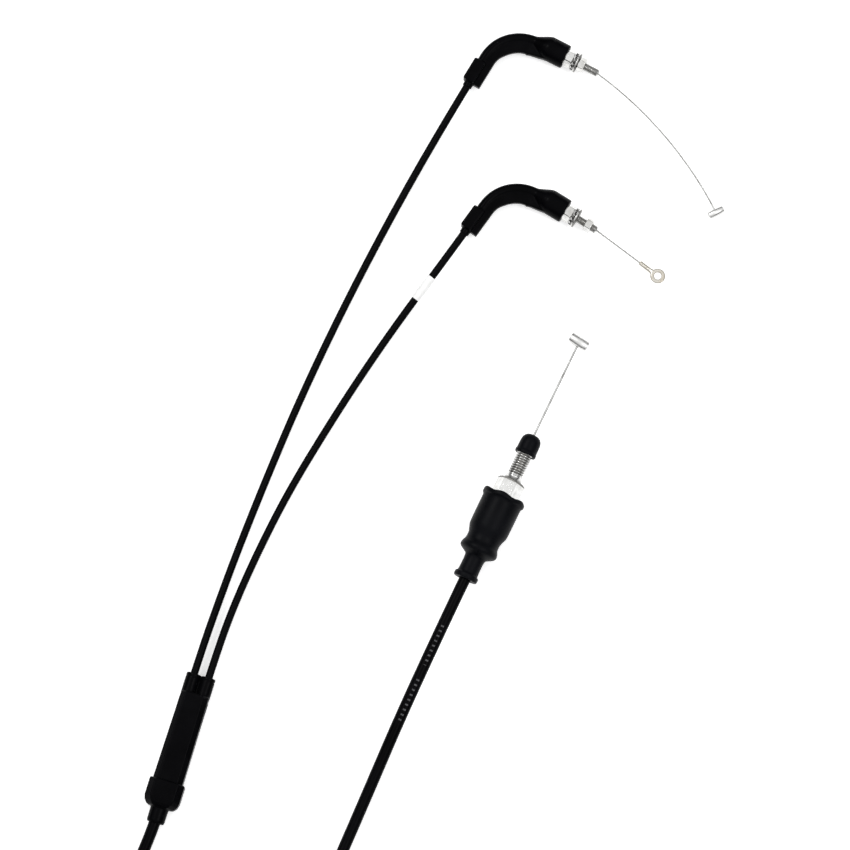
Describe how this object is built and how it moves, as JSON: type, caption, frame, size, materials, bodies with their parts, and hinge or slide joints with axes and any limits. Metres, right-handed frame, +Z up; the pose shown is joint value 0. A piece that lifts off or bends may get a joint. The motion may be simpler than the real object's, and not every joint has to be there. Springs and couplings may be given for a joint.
{
  "type": "split throttle cable",
  "caption": "One-into-two throttle cable: a sheathed main cable with adjuster and boot feeds a splitter, and its legs end in threaded elbows with a barrel nipple and an eyelet.",
  "frame": {"origin": "under the middle of the splitter, on its flat underside, where the cable forks", "axes": "+Z up from the surface that the cable lies on; +Y from the splitter towards the two leg ends; +X towards the wires' free ends"},
  "size_m": [0.3692, 0.6428, 0.027],
  "materials": {
    "casing_jacket": "smooth extruded PVC, soft sheen",
    "moulded_black": "moulded, satin with a fine texture",
    "rubber_black": "moulded rubber, matt with a soft sheen",
    "white_sleeve": "smooth heat-shrunk sleeve",
    "shuttle_nylon": "natural nylon",
    "zinc_steel": "bright zinc plate, turned",
    "wire_rope": "stranded galvanised steel",
    "nipple_metal": "cast zinc alloy, bright",
    "eyelet_metal": "nickel plate, slightly warm"
  },
  "bodies": {
    "root": {"splitter_body": "moulded_black", "splitter_cap": "moulded_black", "splitter_leg_ferrules": "zinc_steel", "splitter_main_ferrule": "zinc_steel", "elbow_cover_a": "moulded_black", "elbow_tube_a": "zinc_steel", "elbow_ferrule_a": "zinc_steel", "stud_a": "zinc_steel", "toothed_washer_a": "zinc_steel", "flat_washer_a": "zinc_steel", "casing_leg_a": "casing_jacket", "elbow_cover_b": "moulded_black", "elbow_tube_b": "zinc_steel", "elbow_ferrule_b": "zinc_steel", "stud_b": "zinc_steel", "toothed_washer_b": "zinc_steel", "flat_washer_b": "zinc_steel", "casing_leg_b": "casing_jacket", "marker_sleeve": "white_sleeve", "casing_main_upper": "casing_jacket", "casing_main_coil": "casing_jacket", "casing_main_lower": "casing_jacket", "lever_ferrule": "zinc_steel"},
    "shuttle_block": {"shuttle": "shuttle_nylon", "shuttle_leg_nipples": "nipple_metal", "shuttle_main_nipple": "nipple_metal", "splitter_leg_wires": "wire_rope", "splitter_main_wire": "wire_rope"},
    "throttle_end": {"wire_main": "wire_rope", "barrel_main": "nipple_metal"},
    "carb_end_a": {"wire_a": "wire_rope", "barrel_a": "nipple_metal"},
    "carb_end_b": {"wire_b": "wire_rope", "eyelet_b": "eyelet_metal"},
    "nut_a": {"nut_a": "zinc_steel"},
    "nut_b": {"nut_b": "zinc_steel"},
    "adjuster": {"adjuster": "zinc_steel"},
    "boot": {"boot": "rubber_black"},
    "dust_cap": {"dust_cap": "rubber_black"}
  },
  "joints": [
    {"name": "throttle_pull", "type": "slide", "parent": "root", "child": "throttle_end", "axis": [0.4321, 0.9018, 0], "range_m": [0, 0.025]},
    {"name": "shuttle_slide", "type": "slide", "parent": "root", "child": "shuttle_block", "axis": [-0.2924, -0.9563, 0], "range_m": [0, 0.025], "deforming": ["splitter_leg_wires", "splitter_main_wire"]},
    {"name": "carb_pull_a", "type": "hinge", "parent": "root", "child": "carb_end_a", "pos_m": [0.1154, 0.2186, 0.0077], "axis": [0, 0, 1], "range_deg": [0, 6.3], "deforming": ["wire_a"]},
    {"name": "carb_pull_b", "type": "slide", "parent": "root", "child": "carb_end_b", "axis": [-0.7934, 0.6088, 0], "range_m": [0, 0.025], "deforming": ["wire_b"]},
    {"name": "nut_a_travel", "type": "slide", "parent": "root", "child": "nut_a", "axis": [0.887, -0.4617, 0], "range_m": [0, 0.008]},
    {"name": "nut_b_travel", "type": "slide", "parent": "root", "child": "nut_b", "axis": [0.848, -0.5299, 0], "range_m": [-0.0056, 0.003]},
    {"name": "adjuster_swivel", "type": "hinge", "parent": "root", "child": "adjuster", "pos_m": [0.19398, 0.14931, 0.0135], "axis": [0.4321, 0.9018, 0], "continuous": true},
    {"name": "boot_slide", "type": "slide", "parent": "root", "child": "boot", "axis": [0.4321, 0.9018, 0], "range_m": [-0.025, 0]},
    {"name": "dust_cap_pull", "type": "slide", "parent": "adjuster", "child": "dust_cap", "axis": [0.4321, 0.9018, 0], "range_m": [0, 0.025]}
  ],
  "couplings": [
    {"joint": "shuttle_slide", "follows": "throttle_pull", "ratio": 1},
    {"joint": "carb_pull_a", "follows": "throttle_pull", "rad_per_m": 4.386},
    {"joint": "carb_pull_b", "follows": "throttle_pull", "ratio": 1}
  ]
}
